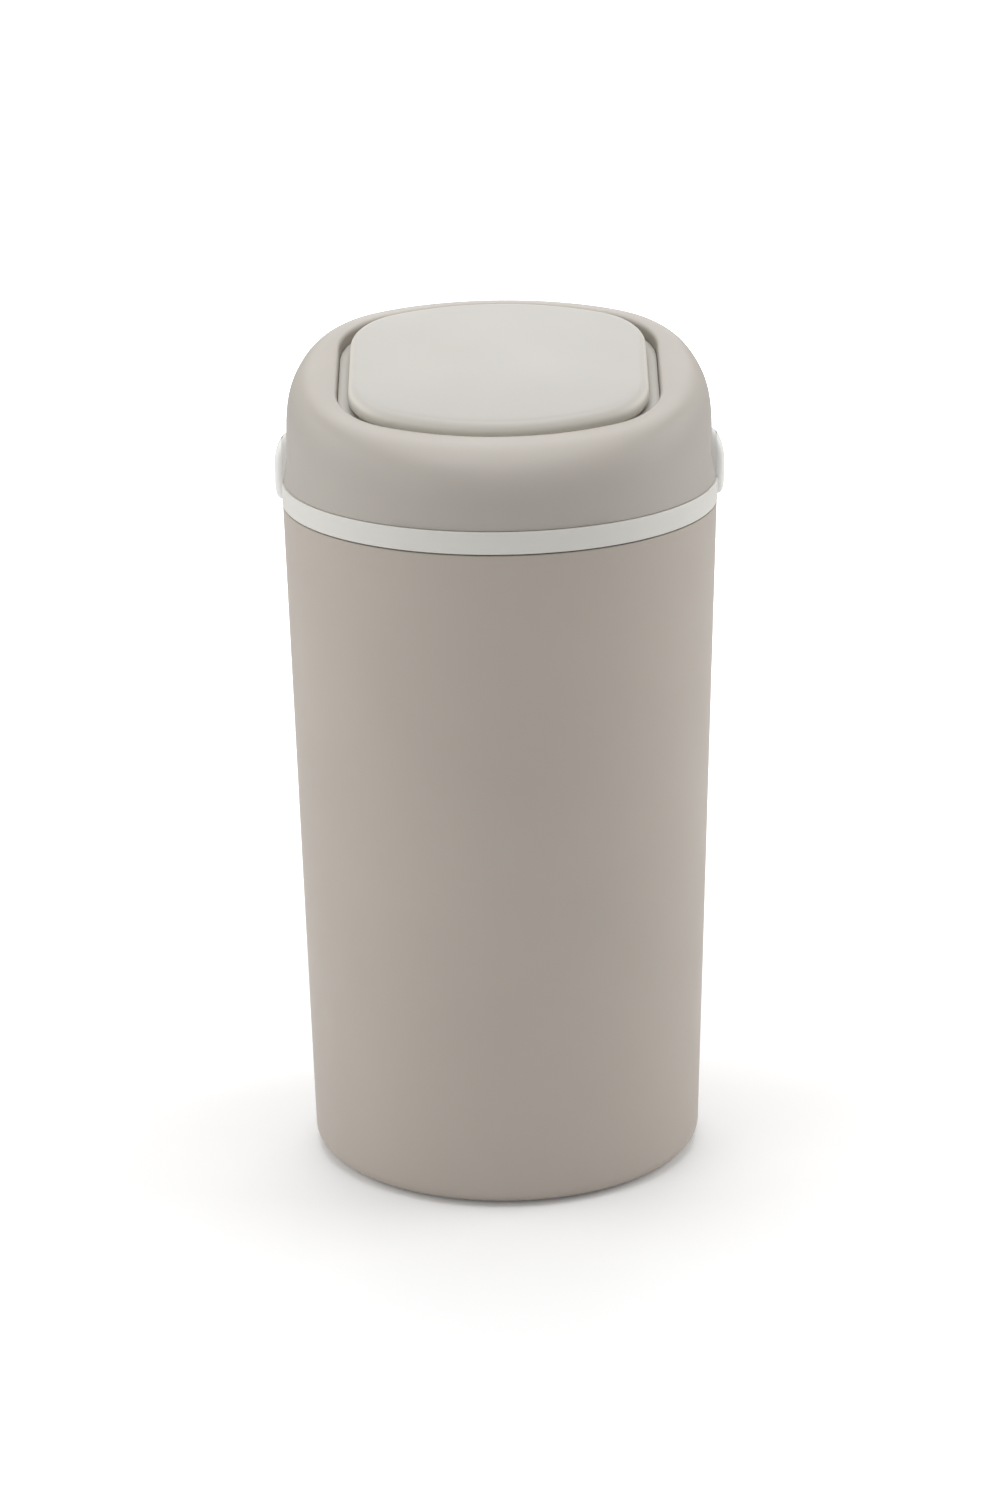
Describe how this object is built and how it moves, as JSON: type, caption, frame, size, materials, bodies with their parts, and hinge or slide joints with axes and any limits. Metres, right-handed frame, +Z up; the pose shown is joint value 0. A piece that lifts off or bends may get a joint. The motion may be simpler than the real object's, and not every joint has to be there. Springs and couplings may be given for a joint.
{
  "type": "nappy bin",
  "caption": "Tall tapered nappy bin with a bag ring, a lift-off head with a sloping mouth, a hinged push-latch lid and a sprung trap door.",
  "frame": {"origin": "centre of the footprint, on the floor", "axes": "+Z up, front towards -Y, +X to the right as seen from the front"},
  "size_m": [0.2814, 0.27, 0.5319],
  "materials": {
    "taupe_shell": "satin moulded polypropylene",
    "light_shell": "satin moulded polypropylene",
    "grey_plastic": "plain moulded",
    "rubber": "soft, matt",
    "steel": "zinc plated"
  },
  "bodies": {
    "base": {"body_shell": "taupe_shell", "foot_pads": "rubber"},
    "ring": {"bag_ring": "light_shell", "head_seal": "rubber"},
    "head": {"head_shell": "taupe_shell", "inner_frame": "light_shell", "frame_screws": "steel", "chute": "grey_plastic", "chute_screws": "steel", "lid_gasket": "rubber", "lid_hinge_pin": "steel", "lid_springs": "steel", "latch_housing": "grey_plastic", "latch_spring": "steel", "latch_screws": "steel", "trap_gasket": "rubber", "trap_hinge_pin": "steel", "trap_springs": "steel"},
    "lid": {"lid_top": "light_shell", "lid_underside": "grey_plastic", "lid_screws": "steel"},
    "plunger": {"latch_plunger": "light_shell"},
    "trap": {"trap_door": "grey_plastic"}
  },
  "joints": [
    {"name": "ring_lift", "type": "slide", "parent": "base", "child": "ring", "axis": [0, 0, 1], "range_m": [0, 0.08]},
    {"name": "head_lift", "type": "slide", "parent": "ring", "child": "head", "axis": [0, 0, 1], "range_m": [0, 0.2]},
    {"name": "lid_open", "type": "hinge", "parent": "head", "child": "lid", "pos_m": [0, 0.0717, 0.5184], "axis": [-1, 0, 0], "range_deg": [0, 60]},
    {"name": "latch_push", "type": "slide", "parent": "head", "child": "plunger", "axis": [0, 0.225, -0.9744], "range_m": [0, 0.003], "stiffness_N_per_m": 300, "springref_m": -0.002, "deforming": ["latch_spring"]},
    {"name": "trap_swing", "type": "hinge", "parent": "head", "child": "trap", "pos_m": [0, 0.06185, 0.3933], "axis": [1, 0, 0], "range_deg": [0, 80], "stiffness_Nm_per_rad": 0.04, "springref_deg": -60.16}
  ]
}
